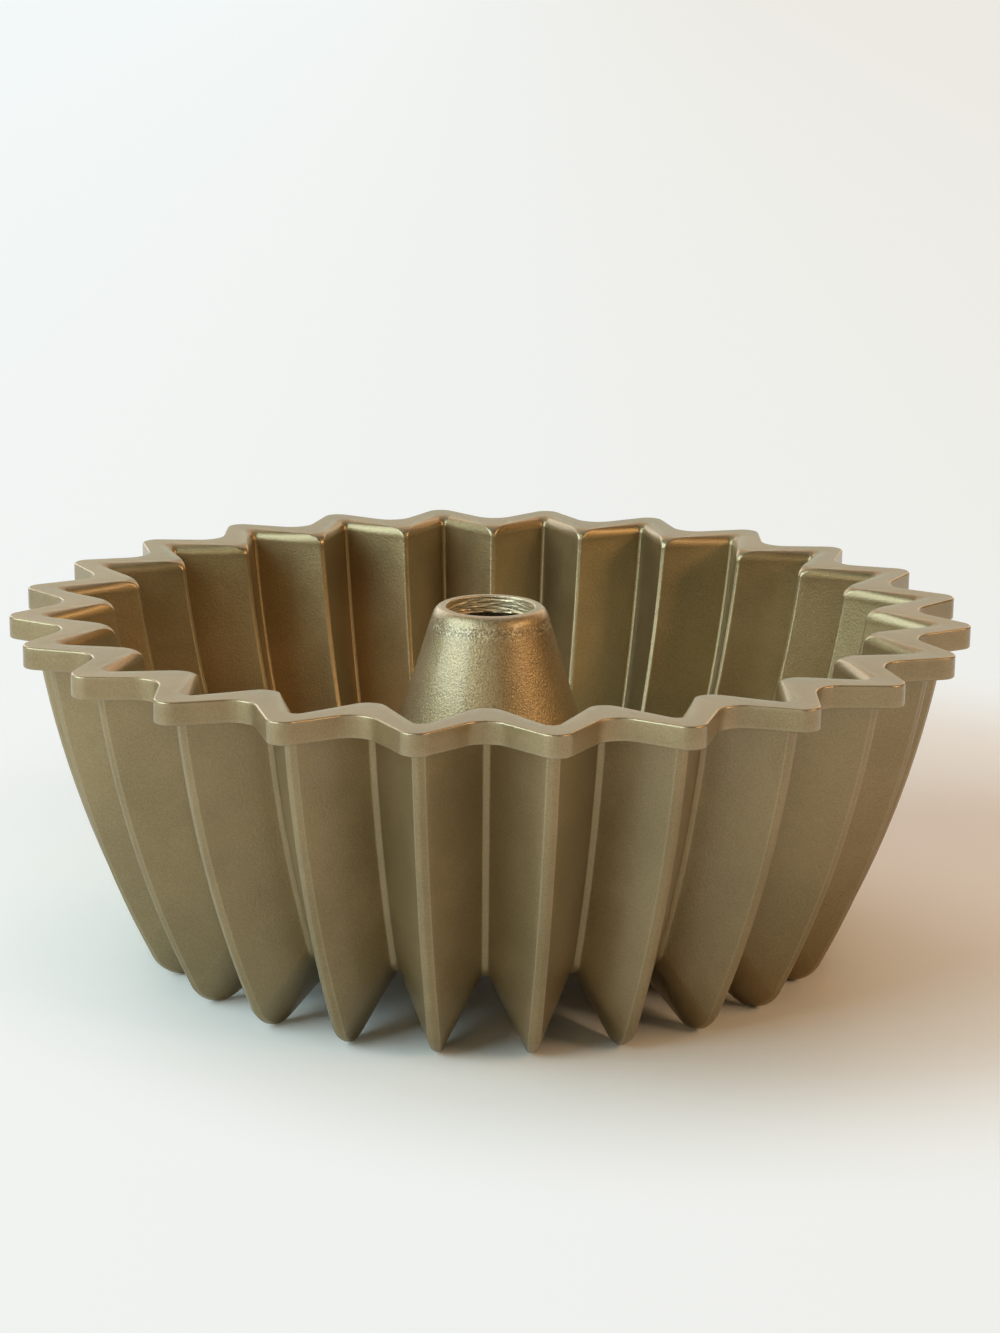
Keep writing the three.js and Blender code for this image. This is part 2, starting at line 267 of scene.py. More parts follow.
class Wire:
    """An output socket in a node tree. Arithmetic on it adds Math nodes."""

    def __init__(self, tree, socket=None):
        self.tree = tree
        self.socket = socket

    def node(self, kind, settings=None, inputs=None, output=0):
        """Adds a node, sets it, fills its sockets with values or links and returns one output."""
        made = self.tree.nodes.new(kind)
        for name, value in (settings or {}).items():
            setattr(made, name, value)
        for name, value in (inputs or {}).items():
            if isinstance(value, Wire):
                self.tree.links.new(value.socket, made.inputs[name])
            else:
                made.inputs[name].default_value = value
        return Wire(self.tree, made.outputs[output] if made.outputs else None)

    def math(self, operation, first, second):
        """Adds a Math node on two values."""
        return self.node("ShaderNodeMath", {"operation": operation}, {0: first, 1: second})

    def __add__(self, other):
        return self.math("ADD", self, other)

    def __radd__(self, other):
        return self.math("ADD", other, self)

    def __sub__(self, other):
        return self.math("SUBTRACT", self, other)

    def __rsub__(self, other):
        return self.math("SUBTRACT", other, self)

    def __mul__(self, other):
        return self.math("MULTIPLY", self, other)

    def __rmul__(self, other):
        return self.math("MULTIPLY", other, self)

    def at_most(self, other):
        """The smaller of two values."""
        return self.math("MINIMUM", self, other)

    def ramp(self, start, end):
        """0 below start, 1 above end and smooth between them. Start may be above end."""
        inputs = {"Value": self, "From Min": start, "From Max": end}
        return self.node("ShaderNodeMapRange", {"interpolation_type": "SMOOTHSTEP"}, inputs)

    def noise(self, grain, detail):
        """Noise whose lumps are about as large as grain, in metres."""
        inputs = {"Vector": self, "Scale": 1 / grain, "Detail": detail, "Roughness": NOISE_ROUGHNESS}
        return self.node("ShaderNodeTexNoise", None, inputs, "Fac")

    def blend(self, first, second):
        """First colour where this is 0, second where it is 1."""
        inputs = {MIX_FACTOR: self, MIX_FIRST: first, MIX_SECOND: second}
        return self.node("ShaderNodeMix", {"data_type": "RGBA"}, inputs, MIX_RESULT)

    def bump(self):
        """Normal of a surface whose relief this is, in metres."""
        return self.node("ShaderNodeBump", None, {"Height": self, "Strength": 1.0, "Distance": 1.0})

    def along(self, axis):
        """One coordinate of a place."""
        return self.node("ShaderNodeSeparateXYZ", None, {"Vector": self}, axis)

    def distance(self, point):
        """Distance of a place from a point."""
        inputs = {0: self, 1: point}
        return self.node("ShaderNodeVectorMath", {"operation": "DISTANCE"}, inputs, "Value")

    def principled(self, inputs):
        """Adds a Principled shader."""
        return self.node("ShaderNodeBsdfPrincipled", None, inputs)

    def show(self):
        """Makes this shader the material's surface."""
        self.node("ShaderNodeOutputMaterial", None, {"Surface": self})


def new_material(name):
    """An empty node material and a wire into its tree."""
    material = bpy.data.materials.new(name)
    material.use_nodes = True
    material.node_tree.nodes.clear()
    return material, Wire(material.node_tree)


def opaque(rgb):
    """A colour with full alpha."""
    return (*rgb, 1.0)


def scaled(rgb, share):
    """A colour made darker or lighter, with full alpha."""
    return opaque(share * part for part in rgb)


# Ramps over noise and over the edge attribute: the values that become 0 and 1.
PATCH_RAMP = (0.36, 0.66)
PIT_RAMP = (0.49, 0.37)
BUMP_RAMP = (0.51, 0.63)
SPECK_RAMP = (0.57, 0.72)
PAINTED_EDGE_HIGHLIGHT_RAMP = (0.5, 1.0)
SPECKED_EDGE_RAMP = (0.8, 1.0)
MARK_RAMP = (0.3, 0.7)
NOISE_MEAN = 0.5
FLAKE_CONTRAST = 3.0

# How far the painted shade in pits, the painted glints on lumps, the painted highlight along edges and
# the bare specks hide the colour under them.
PIT_PAINTED_SHADE_COVER = 0.35
LUMP_PAINTED_GLINT_COVER = 0.85
PAINTED_EDGE_HIGHLIGHT_COVER = 0.18
SPECK_COVER = 0.4

# Brightness of the painted shade in the darkest pits, and of the marks in the hole, as a share of the
# colour around them.
PIT_PAINTED_SHADE_TONE = 0.5
MARK_TONE = 0.65

# How much rougher flakes, patches and grit make a surface, and how much smoother an edge under its
# painted highlight is.
FLAKE_ROUGHNESS = 0.15
PATCH_ROUGHNESS = 0.05
GRIT_ROUGHNESS = 0.2
HIGHLIT_EDGE_SMOOTHNESS = 0.07

# The hole's metal is smoother than the coat. Its fine marks are drawn out around the hole.
BORE_ROUGHNESS = 0.25
MARK_SQUEEZE = (1.0, 1.0, 5.0)

# One kind of coat: its colour and that of its darker patches, its roughness, how far its flakes are
# darker or lighter, and the width and depth of its orange peel.
Coat = namedtuple("Coat", "tone shade roughness glitter grain grain_depth")

# A band around the tube where the coat is pitted: two heights, and how far past them it fades.
PittedBand = namedtuple("PittedBand", "lower upper fade")


def flaked(glint, tone, glitter):
    """A colour that flakes make darker or lighter."""
    return glint.blend(scaled(tone, 1 - glitter), scaled(tone, 1 + glitter))


def coat_material(finish, name, coat, pitted_band=None):
    """Satin champagne coat: soft patches, flakes, orange peel, bare specks and a painted edge
    highlight.

    In a pitted band, the pits get painted shade and the lumps painted glints.
    """
    material, graph = new_material(name)
    place = graph.node("ShaderNodeTexCoord", output="Object")
    patches = place.noise(finish.patch_size, detail=5).ramp(*PATCH_RAMP)
    flakes = place.noise(finish.flake_size, detail=2) - NOISE_MEAN
    peel = place.noise(coat.grain, detail=3)
    waves = place.noise(finish.wave_size, detail=2)
    relief = peel * coat.grain_depth + waves * finish.wave_depth
    glint = flakes * FLAKE_CONTRAST + NOISE_MEAN
    shade = flaked(glint, coat.shade, coat.glitter)
    tone = flaked(glint, coat.tone, coat.glitter)
    base = patches.blend(shade, tone)
    wear_and_highlight = opaque(finish.wear_and_highlight)
    if pitted_band:
        lower, upper, fade = pitted_band
        height = place.along("Z")
        band = height.ramp(lower - fade, lower + fade) * height.ramp(upper + fade, upper - fade)
        lumps = place.noise(finish.lump_size, detail=1)
        pits = band * lumps.ramp(*PIT_RAMP)
        bumps = band * lumps.ramp(*BUMP_RAMP)
        relief = relief + (bumps - pits) * finish.lump_depth
        # Painted shade darkens the pits. Painted glints, in the colour of bare metal, lighten the
        # lumps.
        base = (pits * PIT_PAINTED_SHADE_COVER).blend(base, scaled(coat.shade, PIT_PAINTED_SHADE_TONE))
        base = (bumps * LUMP_PAINTED_GLINT_COVER).blend(base, wear_and_highlight)
    edge = graph.node("ShaderNodeAttribute", {"attribute_name": EDGE}, output="Fac")
    # A painted highlight lightens every edge. Sharp edges also get bare specks of wear.
    painted_edge_highlight = edge.ramp(*PAINTED_EDGE_HIGHLIGHT_RAMP)
    specks = edge.ramp(*SPECKED_EDGE_RAMP) * place.noise(finish.speck_size, detail=3).ramp(*SPECK_RAMP)
    base = (painted_edge_highlight * PAINTED_EDGE_HIGHLIGHT_COVER + specks * SPECK_COVER).blend(base, wear_and_highlight)
    uneven = flakes * FLAKE_ROUGHNESS + patches * PATCH_ROUGHNESS - painted_edge_highlight * HIGHLIT_EDGE_SMOOTHNESS
    shader = graph.principled(
        {
            "Base Color": base,
            "Metallic": finish.metallic,
            "Roughness": uneven + (coat.roughness - PATCH_ROUGHNESS / 2),
            "Normal": relief.bump(),
            "Coat Weight": finish.clear_coat,
            "Coat Roughness": finish.clear_roughness,
        }
    )
    shader.show()
    return material


def coat_of_wall(finish):
    """The coat of flutes and rim."""
    return Coat(
        tone=finish.coat,
        shade=finish.coat_shade,
        roughness=finish.wall_roughness,
        glitter=finish.wall_glitter,
        grain=finish.wall_grain,
        grain_depth=finish.wall_grain_depth,
    )


def coat_of_tube(finish):
    """The coat of the tube, which is lighter and coarser."""
    return Coat(
        tone=finish.tube_coat,
        shade=finish.tube_shade,
        roughness=finish.tube_roughness,
        glitter=finish.tube_glitter,
        grain=finish.tube_grain,
        grain_depth=finish.tube_grain_depth,
    )


def bore_material(finish):
    """Rough bright metal inside the tube's hole, with marks around it."""
    material, graph = new_material("tube_bore")
    place = graph.node("ShaderNodeTexCoord", output="Object")
    squeezed = place.node("ShaderNodeMapping", None, {"Vector": place, "Scale": MARK_SQUEEZE})
    marks = squeezed.noise(finish.mark_size, detail=4)
    grit = place.noise(finish.grit_size, detail=3)
    relief = marks * finish.mark_depth + grit * finish.grit_depth
    base = marks.ramp(*MARK_RAMP).blend(scaled(finish.bore, MARK_TONE), opaque(finish.bore))
    shader = graph.principled(
        {
            "Base Color": base,
            "Metallic": finish.metallic,
            "Roughness": grit * GRIT_ROUGHNESS + BORE_ROUGHNESS,
            "Normal": relief.bump(),
        }
    )
    shader.show()
    return material


def unit(turn):
    """Point on the unit circle."""
    return Vector((math.cos(turn), math.sin(turn)))


def rotation(turn, axis):
    """Turn around an axis through the origin."""
    return Matrix.Rotation(turn, 4, axis)


def spread(steps):
    """Shares from 0 to 1 in equal steps."""
    return [step / steps for step in range(steps + 1)]


def bend_curve(start, middle, end, share):
    """Point on a quadratic curve."""
    return start.lerp(middle, share).lerp(middle.lerp(end, share), share)


def round_corner(before, corner, after, cut, steps):
    """Points of a curve that replaces a corner, from cut before it to cut past it.

    On a short side, the cut stops before the middle, so that two corners keep clear of each other.
    """
    back = before - corner
    ahead = after - corner
    start = corner + back * min(cut / back.length, LARGEST_CUT)
    end = corner + ahead * min(cut / ahead.length, LARGEST_CUT)
    return [bend_curve(start, corner, end, share) for share in spread(steps)]


def edge_round(radius, steps):
    """(inset, drop) of points around a rounded edge, from the flat face beside it to its side."""
    turns = [share * QUARTER_TURN for share in spread(steps)]
    return [(radius * (1 - math.sin(turn)), radius * (1 - math.cos(turn))) for turn in turns]


def between(first, last, steps):
    """Points strictly between two points, closer together near both."""
    inner = spread(steps + 1)[1:-1]
    return [first.lerp(last, (1 - math.cos(math.pi * share)) / 2) for share in inner]


def whole_chain(half):
    """Mirrors half a chain, which starts in the middle of a flute, to both sides of it."""
    mirrored = [Vector((point.x, -point.y, point.z)) for point in reversed(half[1:])]
    return mirrored + half


# Half widths of the narrow strips along crest and valley, how far the crest's strip bulges, and how
# far each corner is cut back by its round.
Strips = namedtuple("Strips", "crest valley bulge crest_cut valley_cut")
OUTSIDE_WALL = Strips(1.5 * MM, 0.8 * MM, 0.60 * MM, 0.32 * MM, 0.35 * MM)
OUTSIDE_FLOOR = Strips(0.6 * MM, 1.0 * MM, 0.25 * MM, 1.20 * MM, 2.60 * MM)
INSIDE_WALL = Strips(0.55 * MM, 0.6 * MM, 0.10 * MM, 0.40 * MM, 0.40 * MM)
INSIDE_FLOOR = Strips(0.8 * MM, 1.2 * MM, 0.10 * MM, 1.60 * MM, 2.20 * MM)


def mix_strips(first, second, share):
    """Strips between two others."""
    return Strips(*(a + (b - a) * share for a, b in zip(first, second)))


def fold_chain(sizes, crest, valley, out, strips):
    """Points across one flute from valley to valley. Crest and valley are (radius, height) points.

    Out is the direction out of the metal in the same plane. The ends lie square to the planes
    between flutes, so neighbours run smoothly into each other.
    """
    steps = sizes.corner_steps
    along_valley = Vector((math.cos(HALF_PITCH), math.sin(HALF_PITCH), 0))
    over_valley = Vector((-math.sin(HALF_PITCH), math.cos(HALF_PITCH), 0))
    ridge = Vector((crest.x, 0, crest.y))
    valley_middle = along_valley * valley.x + Vector((0, 0, valley.y))
    crest_edge = ridge - Vector((out.x, 0, out.y)) * strips.bulge + Vector((0, strips.crest, 0))
    valley_edge = valley_middle - over_valley * strips.valley
    far_edge = Vector((crest_edge.x, -crest_edge.y, crest_edge.z))
    half = round_corner(far_edge, ridge, crest_edge, RIDGE_CUT * strips.crest, 2 * steps)[steps:]
    half += round_corner(ridge, crest_edge, valley_edge, strips.crest_cut, steps)
    valley_round = round_corner(crest_edge, valley_edge, valley_middle, strips.valley_cut, steps)
    half += between(half[-1], valley_round[0], sizes.flank_steps)
    half += valley_round
    half.append(valley_middle)
    return whole_chain(half)


def zigzag_chain(sizes, tip_radius, tip_round, root_radius, root_round, height):
    """Points over one tooth with a round tip and round roots, as many as a fold chain has."""
    steps = sizes.corner_steps
    tip = Vector((tip_radius - tip_round, 0))
    root = unit(HALF_PITCH) * (root_radius + root_round)
    to_root = root - tip
    # The direction that the straight flank between tip and root faces.
    flank = math.atan2(to_root.y, to_root.x) - math.acos((tip_round + root_round) / to_root.length)
    outline = [tip + unit(flank * share) * tip_round for share in spread(2 * steps + 1)]
    turn = HALF_PITCH - flank
    root_points = [root - unit(flank + turn * share) * root_round for share in spread(steps + 1)]
    outline += between(outline[-1], root_points[0], sizes.flank_steps)
    outline += root_points
    return whole_chain([Vector((point.x, point.y, height)) for point in outline])


class Fold:
    """The line of a crest or a valley in the (radius, height) plane, from the rim to the hub."""

    def __init__(self, sizes, depth, round_centre, round_radius):
        wall = wall_centre(sizes)
        centre = Vector((wall.x - depth, wall.y))
        top = Vector((crest_top_radius(sizes) - depth, rim_underside(sizes))) - centre
        to_round = round_centre - centre
        hub_end = Vector((hub_radius(sizes), sizes.hub_height))
        bend = hub_end + Vector((1, -math.tan(sizes.hub_rise))) * sizes.hub_bend
        to_bend = bend - round_centre
        joint = math.atan2(to_round.y, to_round.x)
        leaving = math.atan2(to_bend.y, to_bend.x) % math.tau
        touch = leaving + math.acos(round_radius / to_bend.length) - math.tau
        # Wall and round are arcs: centre, radius, first and last angle. The floor is a bend to the hub.
        self.wall = (centre, sizes.wall_curve_radius, math.atan2(top.y, top.x), joint)
        self.round = (round_centre, round_radius, joint, touch)
        self.floor = (round_centre + unit(touch) * round_radius, bend, hub_end)

    def point(self, stretch, share):
        """Point at a share of the wall, the round or the floor."""
        if stretch == "floor":
            return bend_curve(*self.floor, share)
        centre, radius, start, end = getattr(self, stretch)
        return centre + unit(start + (end - start) * share) * radius


def rim_underside(sizes):
    """Height at which the flutes meet the rim."""
    return sizes.height - sizes.rim_depth


def crest_top_radius(sizes):
    """Radius of a crest under the rim."""
    return sizes.tooth_tip_radius - sizes.tip_overhang


def hub_top_height(sizes):
    """Height of the hub's upper side."""
    return sizes.hub_height + sizes.metal_across_fold


def hub_radius(sizes):
    """Radius at which the floor meets the tube."""
    cone = sizes.tube_top_radius + (sizes.height - hub_top_height(sizes)) * math.tan(sizes.tube_taper)
    return cone + sizes.hub_flare


def wall_centre(sizes):
    """Centre of the crest's arc, which passes the crest's top and runs into the foot's round."""
    top = Vector((crest_top_radius(sizes), rim_underside(sizes)))
    foot = Vector((sizes.foot_radius, sizes.foot_round))
    reach = sizes.wall_curve_radius - sizes.foot_round
    span = (foot - top).length
    along = (sizes.wall_curve_radius**2 - reach**2 + span**2) / (2 * span)
    aside = math.sqrt(sizes.wall_curve_radius**2 - along**2)
    down = (foot - top).normalized()
    return top + down * along + Vector((down.y, -down.x)) * aside


def crest_fold(sizes):
    """The line of a crest, which turns under into a foot."""
    return Fold(sizes, 0.0, Vector((sizes.foot_radius, sizes.foot_round)), sizes.foot_round)


def valley_fold(sizes):
    """The line of a valley, which turns under over an arch."""
    centre = wall_centre(sizes)
    round_height = sizes.arch_height + sizes.arch_round
    rise = centre.y - round_height
    reach = math.sqrt((sizes.wall_curve_radius - sizes.arch_round) ** 2 - rise**2)
    round_centre = Vector((centre.x - sizes.flute_depth + reach, round_height))
    return Fold(sizes, sizes.flute_depth, round_centre, sizes.arch_round)


def fold_stations(sizes):
    """(stretch, share along it, turn from wall to floor) from the rim to the hub."""
    stations = [("wall", share, 0.0) for share in spread(sizes.wall_steps)]
    stations += [("round", share, share) for share in spread(sizes.round_steps)[1:]]
    stations += [("floor", share, 1.0) for share in spread(sizes.floor_steps)[1:]]
    return stations


def flute_grid(sizes):
    """Rows of closed loops around the metal of one flute, from the rim to the hub."""
    crests = crest_fold(sizes)
    valleys = valley_fold(sizes)
    grid = []
    for stretch, share, turn in fold_stations(sizes):
        crest = crests.point(stretch, share)
        valley = valleys.point(stretch, share)
        lean = turn * QUARTER_TURN
        out = Vector((math.cos(lean), -math.sin(lean)))
        metal = out * sizes.metal_across_fold
        outer = mix_strips(OUTSIDE_WALL, OUTSIDE_FLOOR, turn)
        inner = mix_strips(INSIDE_WALL, INSIDE_FLOOR, turn)
        outside = fold_chain(sizes, crest, valley, out, outer)
        inside = fold_chain(sizes, crest - metal, valley - metal, out, inner)
        grid.append(outside + inside[::-1])
    return grid


def inner_wall_chain(sizes, height):
    """Inside of the flutes at a height above the rim's underside."""
    centre = wall_centre(sizes)
    reach = math.sqrt(sizes.wall_curve_radius**2 - (height - centre.y) ** 2)
    groove = Vector((centre.x + reach - sizes.metal_across_fold, height))
    ridge = groove - Vector((sizes.flute_depth, 0))
    return fold_chain(sizes, groove, ridge, Vector((1, 0)), INSIDE_WALL)


def rim_chains(sizes):
    """Chains over one tooth, which close on themselves around the flange's section."""
    top = sizes.height
    underside = rim_underside(sizes)
    root_radius = crest_top_radius(sizes) - sizes.flute_depth + sizes.root_overhang

    def edge_chain(inset, height):
        """Outline of the teeth, moved in."""
        return zigzag_chain(
            sizes,
            sizes.tooth_tip_radius - inset,
            sizes.tooth_tip_round - inset,
            root_radius - inset,
            sizes.tooth_root_round + inset,
            height,
        )

    round_start = top - sizes.mouth_round
    wall = inner_wall_chain(sizes, round_start)
    mouth_tip = max(point.x for point in wall) + sizes.mouth_round
    mouth = zigzag_chain(
        sizes,
        mouth_tip,
        sizes.mouth_tip_round,
        mouth_tip - sizes.flute_depth,
        sizes.mouth_root_round,
        round_start,
    )
    heights = (underside, (underside + round_start) / 2)
    chains = [inner_wall_chain(sizes, height) for height in heights]
    for share in spread(sizes.mouth_steps):
        turn = share * sizes.mouth_turn
        inset = (1 - math.cos(turn)) / (1 - math.cos(sizes.mouth_turn))
        climb = math.sin(turn) / math.sin(sizes.mouth_turn)
        lift = Vector((0, 0, sizes.mouth_round * climb))
        chains.append([a.lerp(b, inset) + lift for a, b in zip(wall, mouth)])
    chains.append(edge_chain(SUPPORT_ROW * sizes.rim_edge_round, top))
    for inset, drop in edge_round(sizes.rim_edge_round, sizes.edge_steps):
        chains.append(edge_chain(inset, top - drop))
    chains.append(edge_chain(0.0, (top + underside) / 2))
    for inset, rise in reversed(edge_round(sizes.rim_lower_round, sizes.edge_steps)):
        chains.append(edge_chain(inset, underside + rise))
    chains.append(edge_chain(SUPPORT_ROW * sizes.rim_lower_round, underside))
    return chains


def around_rim(chain):
    """Repeats a chain over every flute. Neighbours share the point between them."""
    points = []
    for number_of_flute in range(len(FLUTE_NODES)):
        turned = rotation(flute_azimuth(number_of_flute), "Z")
        points += [turned @ point for point in chain[:-1]]
    return points


def flute_azimuth(number_of_flute):
    """Angle of a flute's crest around the axis."""
    return HALF_PITCH * (2 * number_of_flute + 1)


# A point of the tube's section: radius, height, and how far its radius is roughened.
TubePoint = namedtuple("TubePoint", "radius height rough")

# Radius of the circle that is walked through the noise which roughens the hole: more gives more spots.
ROUGH_SPOTS = 3.2


def flare_points(sizes, cone_top_radius, hub_point, steps):
    """Flare from the hub into a cone, as (radius, height) points.

    It bends around the point where the hub's slope meets the cone.
    """
    cone_slope = math.tan(sizes.tube_taper)
    hub_slope = math.tan(sizes.hub_rise)
    reach = cone_top_radius + cone_slope * (sizes.height - hub_point.y - hub_point.x * hub_slope)
    bend_radius = reach / (1 - cone_slope * hub_slope)
    bend = Vector((bend_radius, hub_point.y + (hub_point.x - bend_radius) * hub_slope))
    up_cone = Vector((-math.sin(sizes.tube_taper), math.cos(sizes.tube_taper)))
    end = bend + up_cone * (bend - hub_point).length
    return [bend_curve(hub_point, bend, end, share) for share in spread(steps)]


def tube_outside(sizes):
    """(radius, height) points from the hub up the outside and over the lip to the hole's edge."""
    steps = 2 * sizes.edge_steps
    top = sizes.height
    mouth = sizes.tube_mouth_radius
    lip = sizes.tube_lip_round
    hub = Vector((hub_radius(sizes), hub_top_height(sizes)))
    points = flare_points(sizes, sizes.tube_top_radius, hub, steps)
    lip_start = Vector((sizes.tube_top_radius + lip * math.tan(sizes.tube_taper), top - lip))
    lip_corner = Vector((sizes.tube_top_radius, top))
    lip_end = Vector((mouth + sizes.tube_edge_round + sizes.tube_lip_flat, top))
    points += between(points[-1], lip_start, steps)
    points += [bend_curve(lip_start, lip_corner, lip_end, share) for share in spread(steps)]
    for inset, drop in edge_round(sizes.tube_edge_round, sizes.edge_steps):
        points.append(Vector((mouth + inset, top - drop)))
    return points


def tube_section(sizes):
    """Closed section of the tube: up the outside, over the lip and down through the hole."""
    steps = 2 * sizes.edge_steps
    land_steps = 3 * steps
    mouth = sizes.tube_mouth_radius
    outer = tube_outside(sizes)
    section = [TubePoint(point.x, point.y, 0.0) for point in outer]
    flash_depth = sizes.flash / 2
    land_end = sizes.height - sizes.tube_mouth_land + flash_depth
    land = between(outer[-1], Vector((mouth, land_end)), land_steps)
    section += [TubePoint(point.x, point.y, sizes.ring_mark) for point in land]
    section.append(TubePoint(mouth - flash_depth, land_end, sizes.flash))
    section.append(TubePoint(mouth - flash_depth, land_end - flash_depth, sizes.flash))
    cone_top = sizes.tube_top_radius - sizes.tube_wall / math.cos(sizes.tube_taper)
    cone_end = cone_top + (sizes.height - land_end) * math.tan(sizes.tube_taper)
    inner = flare_points(sizes, cone_top, Vector((hub_radius(sizes), sizes.hub_height)), steps)
    inner += between(inner[-1], Vector((cone_end, land_end)), steps)
    below = [point for point in inner if point.y < land_end - sizes.flash]
    section += [TubePoint(point.x, point.y, 0.0) for point in reversed(below)]
    return section


def roughened(sizes, point, azimuth):
    """Radius of a tube point with rings and a ragged edge cast into it."""
    if not point.rough:
        return point.radius
    spot = (unit(azimuth) * ROUGH_SPOTS).to_3d() + Vector((0, 0, point.height / sizes.ring_pitch))
    return point.radius + point.rough * noise.noise(spot)


def tube_grid(sizes):
    """Rows of rings around the tube's section."""
    azimuths = [math.tau * side / sizes.tube_sides for side in range(sizes.tube_sides)]
    grid = []
    for point in tube_section(sizes):
        height = Vector((0, 0, point.height))
        ring = []
        for azimuth in azimuths:
            radius = roughened(sizes, point, azimuth)
            ring.append((unit(azimuth) * radius).to_3d() + height)
        grid.append(ring)
    return grid


def mark_edges(mesh_builder):
    """Keeps on each point how sharply the surface bends outwards there."""
    edge = mesh_builder.verts.layers.float.new(EDGE)
    for vert in mesh_builder.verts:
        bends = [side.calc_face_angle_signed() for side in vert.link_edges]
        sharpest = max(bend if bend < EDGE_LIMIT else 0.0 for bend in bends)
        vert[edge] = min(max(sharpest / EDGE_ANGLE, 0.0), 1.0)


def grid_mesh(name, grid, closed_rows):
    """Closed mesh over rows of loops. The rows close on themselves, or the end rows are capped."""
    columns = len(grid[0])
    rows = len(grid)
    mesh_builder = bmesh.new()
    verts = [mesh_builder.verts.new(point) for row in grid for point in row]
    for row in range(rows if closed_rows else rows - 1):
        start = row * columns
        next_start = (row + 1) % rows * columns
        for column in range(columns):
            beside = (column + 1) % columns
            corners = (start + column, start + beside, next_start + beside, next_start + column)
            mesh_builder.faces.new([verts[corner] for corner in corners])
    if not closed_rows:
        for start in (0, (rows - 1) * columns):
            for column in range(columns // 2 - 1):
                opposite = columns - 1 - column
                corners = (column, column + 1, opposite - 1, opposite)
                mesh_builder.faces.new([verts[start + corner] for corner in corners])
    bmesh.ops.recalc_face_normals(mesh_builder, faces=mesh_builder.faces)
    mark_edges(mesh_builder)
    mesh = bpy.data.meshes.new(name)
    mesh_builder.to_mesh(mesh)
    mesh_builder.free()
    mesh.shade_smooth()
    mesh.set_sharp_from_angle(angle=SHARP_ANGLE)
    return mesh


def add_piece(context, mesh, node, *materials):
    """Shows a mesh in place of a CAD node."""
    piece = bpy.data.objects.new(mesh.name, mesh)
    context.scene.collection.objects.link(piece)
    for material in materials:
        mesh.materials.append(material)
    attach(piece, BODY)
    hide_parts(node)
    return piece


class PAN_OT_rim(bpy.types.Operator):
    """Build the zigzag rim flange"""

    bl_idname = "pan.rim"
    bl_label = "Rim flange"

    def execute(self, context):
        sizes = context.scene.pan_sizes
        finish = context.scene.pan_finish
        grid = [around_rim(chain) for chain in rim_chains(sizes)]
        coat = coat_material(finish, "coat_rim", coat_of_wall(finish))
        add_piece(context, grid_mesh("cast_rim", grid, closed_rows=True), RIM_NODE, coat)
        return {"FINISHED"}


class PAN_OT_flutes(bpy.types.Operator):
    """Build the ring of flutes"""

    bl_idname = "pan.flutes"
    bl_label = "Flutes"

    def execute(self, context):
        sizes = context.scene.pan_sizes
        finish = context.scene.pan_finish
        coat = coat_material(finish, "coat_flutes", coat_of_wall(finish))
        grid = flute_grid(sizes)
        for number_of_flute, node in enumerate(FLUTE_NODES):
            mesh = grid_mesh(f"cast_{node}", grid, closed_rows=False)
            mesh.transform(rotation(flute_azimuth(number_of_flute), "Z"))
            add_piece(context, mesh, node, coat)
        return {"FINISHED"}


class PAN_OT_tube(bpy.types.Operator):
    """Build the conical centre tube"""

    bl_idname = "pan.tube"
    bl_label = "Centre tube"

    def execute(self, context):
        sizes = context.scene.pan_sizes
        finish = context.scene.pan_finish
        band_top = sizes.height - sizes.band_drop
        band = PittedBand(band_top - sizes.band_width, band_top, sizes.band_fade)
        coat = coat_material(finish, "coat_tube", coat_of_tube(finish), band)
        bore = bore_material(finish)
        mesh = grid_mesh("cast_tube", tube_grid(sizes), closed_rows=True)
        tube = add_piece(context, mesh, TUBE_NODE, coat, bore)
        bore_index = mesh.materials.find(bore.name)
        bore_radius = sizes.tube_mouth_radius + sizes.ring_mark
        bore_end = sizes.height - sizes.tube_mouth_land - sizes.flash
        for face in tube.data.polygons:
            centre = face.center
            if centre.xy.length < bore_radius and centre.z > bore_end:
                face.material_index = bore_index
        return {"FINISHED"}


# A lamp's place: degrees from the front, to the right, and up from the floor, and its distance and
# sides in metres.
Lamp = namedtuple("Lamp", "name azimuth elevation distance width height")
LAMPS = (
    Lamp("window", -65.0, 32.0, 1.2, 1.2, 0.9),
    Lamp("lamp", 55.0, 30.0, 1.2, 0.25, 0.2),
    Lamp("glow", 75.0, 34.0, 1.2, 0.5, 0.4),
    Lamp("wall", 180.0, 17.0, 1.3, 2.4, 0.5),
    Lamp("wall_left", -140.0, 26.0, 1.2, 0.8, 0.6),
    Lamp("wall_right", 140.0, 26.0, 1.2, 0.8, 0.6),
    Lamp("cornice", 180.0, 45.0, 1.3, 1.6, 0.7),
    Lamp("fill", -8.0, 24.0, 1.2, 0.8, 0.35),
    Lamp("ceiling", 180.0, 78.0, 1.2, 0.9, 0.9),
)

FLOOR_RADIUS = 12.0
FLOOR_SIDES = 96
FLOOR_ROUGHNESS = 0.55

# The floor fades to the plain backdrop between two distances. For the camera they start in the middle
# of the pan and its shadow, which falls to the right and to the back, and in reflections in the pan's
# middle. The backdrop's colour changes from left to right over its span.
SHADOW_MIDDLE = (0.05, 0.07, 0.0)
SHADOW_REACH = (0.16, 0.25)
PAN_MIDDLE = (0.0, 0.0, 0.0)
REFLECTED_REACH = (0.14, 0.4)
BACKDROP_SPAN = (-0.7, 0.7)

# The camera was fitted to the photograph. Its lens is in millimetres.
CAMERA_PLACE = (0.004435, -0.786906, 0.279617)
CAMERA_YAW = math.radians(-0.128)
CAMERA_PITCH = math.radians(14.584)
CAMERA_ROLL = math.radians(0.596)
CAMERA_LENS = 83.147


